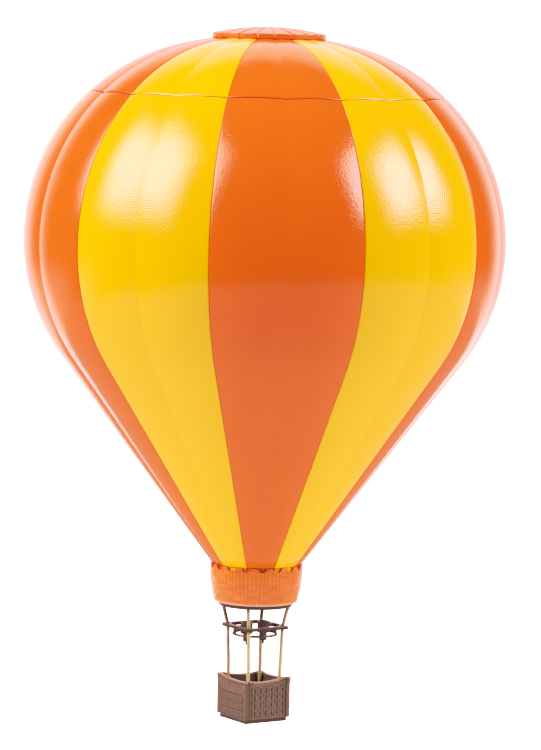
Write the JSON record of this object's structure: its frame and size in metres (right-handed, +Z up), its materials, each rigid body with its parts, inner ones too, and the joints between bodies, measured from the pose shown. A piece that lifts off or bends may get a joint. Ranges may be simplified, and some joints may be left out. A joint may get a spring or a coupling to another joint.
{
  "type": "hot air balloon, moulded plastic scale model",
  "caption": "Scale-model hot air balloon: striped hollow envelope, crown cap, notched skirt, burner frame and open wicker-pattern basket hung on wires.",
  "frame": {"origin": "top of the crown cap, on the envelope's axis, where a thread holds the balloon up", "axes": "+Z up along the envelope's axis; +X and +Y square to the basket's walls"},
  "size_m": [0.115, 0.115, 0.1664],
  "materials": {
    "orange_plastic": "gloss",
    "yellow_plastic": "gloss",
    "cap_plastic": "satin",
    "skirt_plastic": "satin",
    "brown_plastic": "satin",
    "brass_wire": "satin"
  },
  "bodies": {
    "root": {"crown_cap": "cap_plastic", "gore_upper_01": "orange_plastic", "gore_upper_02": "yellow_plastic", "gore_upper_03": "orange_plastic", "gore_upper_04": "yellow_plastic", "gore_upper_05": "orange_plastic", "gore_upper_06": "yellow_plastic", "gore_upper_07": "orange_plastic", "gore_upper_08": "yellow_plastic", "gore_upper_09": "orange_plastic", "gore_upper_10": "yellow_plastic", "gore_lower_01": "orange_plastic", "gore_lower_02": "yellow_plastic", "gore_lower_03": "orange_plastic", "gore_lower_04": "yellow_plastic", "gore_lower_05": "orange_plastic", "gore_lower_06": "yellow_plastic", "gore_lower_07": "orange_plastic", "gore_lower_08": "yellow_plastic", "gore_lower_09": "orange_plastic", "gore_lower_10": "yellow_plastic", "skirt": "skirt_plastic", "mouth_ring": "brown_plastic", "suspension_wire_1": "brass_wire", "suspension_wire_2": "brass_wire", "suspension_wire_3": "brass_wire", "suspension_wire_4": "brass_wire", "burner_frame": "brown_plastic", "burner_pipe_ring": "brown_plastic", "burner_1": "brown_plastic", "burner_2": "brown_plastic", "basket_wall_left": "brown_plastic", "basket_wall_right": "brown_plastic", "basket_wall_back": "brown_plastic", "basket_wall_front": "brown_plastic", "basket_floor": "brown_plastic"}
  },
  "joints": []
}
